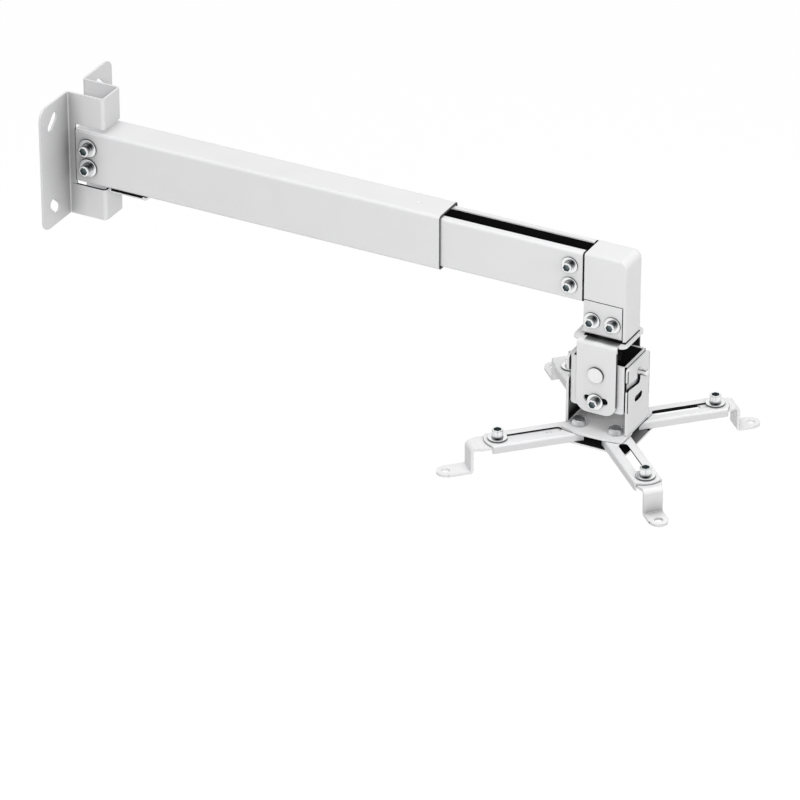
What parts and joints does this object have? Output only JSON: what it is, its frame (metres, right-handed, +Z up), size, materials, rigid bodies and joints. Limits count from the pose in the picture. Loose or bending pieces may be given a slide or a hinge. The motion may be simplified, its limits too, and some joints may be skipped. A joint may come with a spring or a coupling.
{
  "type": "projector wall mount",
  "caption": "Telescopic wall arm for a projector: folded wall plate, sliding square boom, elbow, swivelling and tilting head, and pivoting slotted arms with stepped feet.",
  "frame": {"origin": "middle of the four wall slots, on the wall plane behind the wall plate", "axes": "+X out from the wall along the boom, +Z up, Y across the boom; the camera of the picture is on the -Y side"},
  "size_m": [0.6541, 0.233, 0.2367],
  "materials": {
    "enamel": "fine satin powder coat",
    "zinc": "bright zinc plate",
    "disc": "matte"
  },
  "bodies": {
    "wall_frame": {"wall_bracket": "enamel", "outer_tube": "enamel", "wall_screws": "zinc", "wall_washers": "zinc", "wall_nuts": "zinc", "stop_plate": "enamel", "stop_screw": "zinc", "stop_washer": "zinc", "guide_studs": "zinc"},
    "boom": {"inner_tube": "enamel", "elbow": "enamel", "head_bracket": "enamel", "boom_screws": "zinc", "boom_washers": "zinc", "head_screws": "zinc", "head_washers": "zinc", "swivel_bolt": "zinc", "swivel_nut": "zinc", "swivel_washers": "zinc", "swivel_disc": "disc"},
    "swivel": {"swivel_yoke": "enamel", "tilt_rivets": "zinc"},
    "tilt": {"tilt_box": "enamel", "tilt_screws": "zinc", "tilt_washers": "zinc", "roll_pins": "zinc"},
    "hub": {"roll_yoke": "enamel", "hub_plate": "enamel", "hub_rivets": "enamel"},
    "arm_left": {"arm_left": "enamel"},
    "foot_left": {"foot_left": "enamel", "foot_screw_left": "zinc", "foot_washer_left": "zinc"},
    "arm_front": {"arm_front": "enamel"},
    "foot_front": {"foot_front": "enamel", "foot_screw_front": "zinc", "foot_washer_front": "zinc"},
    "arm_right": {"arm_right": "enamel"},
    "foot_right": {"foot_right": "enamel", "foot_screw_right": "zinc", "foot_washer_right": "zinc"},
    "arm_back": {"arm_back": "enamel"},
    "foot_back": {"foot_back": "enamel", "foot_screw_back": "zinc", "foot_washer_back": "zinc"}
  },
  "joints": [
    {"name": "boom_slide", "type": "slide", "parent": "wall_frame", "child": "boom", "axis": [1, 0, 0], "range_m": [-0.1175, 0.1025]},
    {"name": "head_swivel", "type": "hinge", "parent": "boom", "child": "swivel", "pos_m": [0.5475, 0, -0.055], "axis": [0, 0, 1], "continuous": true},
    {"name": "head_tilt", "type": "hinge", "parent": "swivel", "child": "tilt", "pos_m": [0.5475, 0, -0.0884], "axis": [0, 1, 0], "range_deg": [-15, 15]},
    {"name": "head_roll", "type": "hinge", "parent": "tilt", "child": "hub", "pos_m": [0.5475, 0, -0.0884], "axis": [1, 0, 0], "range_deg": [-8, 8]},
    {"name": "arm_left_turn", "type": "hinge", "parent": "hub", "child": "arm_left", "pos_m": [0.5295, -0.0195, -0.1476], "axis": [0, 0, 1], "range_deg": [-35, 35]},
    {"name": "foot_left_slide", "type": "slide", "parent": "arm_left", "child": "foot_left", "axis": [-0.7071, -0.7071, 0], "range_m": [-0.0075, 0.002]},
    {"name": "arm_front_turn", "type": "hinge", "parent": "hub", "child": "arm_front", "pos_m": [0.5655, -0.0195, -0.1476], "axis": [0, 0, 1], "range_deg": [-35, 35]},
    {"name": "foot_front_slide", "type": "slide", "parent": "arm_front", "child": "foot_front", "axis": [0.7169, -0.6972, 0], "range_m": [-0.047, 0.002]},
    {"name": "arm_right_turn", "type": "hinge", "parent": "hub", "child": "arm_right", "pos_m": [0.5655, 0.0195, -0.1476], "axis": [0, 0, 1], "range_deg": [-35, 35]},
    {"name": "foot_right_slide", "type": "slide", "parent": "arm_right", "child": "foot_right", "axis": [0.7071, 0.7071, 0], "range_m": [-0.047, 0.002]},
    {"name": "arm_back_turn", "type": "hinge", "parent": "hub", "child": "arm_back", "pos_m": [0.5295, 0.0195, -0.1476], "axis": [0, 0, 1], "range_deg": [-35, 35]},
    {"name": "foot_back_slide", "type": "slide", "parent": "arm_back", "child": "foot_back", "axis": [-0.7071, 0.7071, 0], "range_m": [-0.0075, 0.002]}
  ]
}
